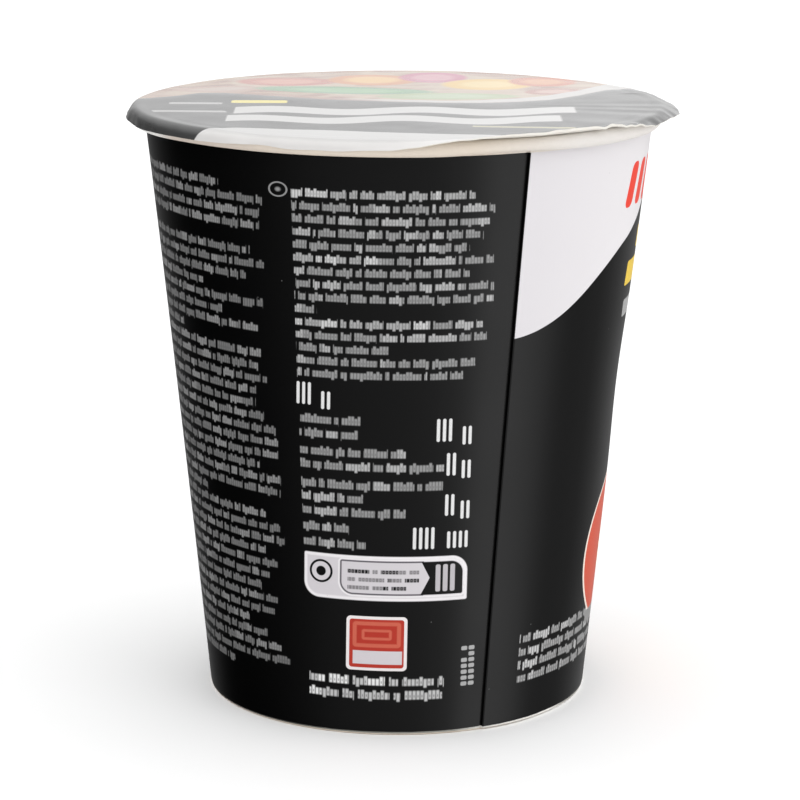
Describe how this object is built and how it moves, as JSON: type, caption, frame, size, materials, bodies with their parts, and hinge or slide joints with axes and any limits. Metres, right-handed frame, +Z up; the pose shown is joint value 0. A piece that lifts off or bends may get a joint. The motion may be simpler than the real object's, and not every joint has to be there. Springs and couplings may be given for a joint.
{
  "type": "instant noodle cup",
  "caption": "Shut paper cup of instant noodles: tapered wall with a lapped seam, rolled rim and recessed base, sealed with a peel film lid folded over the rim.",
  "frame": {"origin": "centre of the foot ring, on the surface the cup stands on", "axes": "+Z up along the cup's axis, -Y towards the side that the picture shows, +X to its right"},
  "size_m": [0.0994, 0.0983, 0.1079],
  "materials": {
    "coated_board": "satin, printed black with fields of white",
    "plain_board": "matt, unprinted",
    "lid_film": "glossy laminate, printed"
  },
  "bodies": {
    "root": {"cup": "coated_board", "base_disc": "plain_board", "lid": "lid_film"}
  },
  "joints": []
}
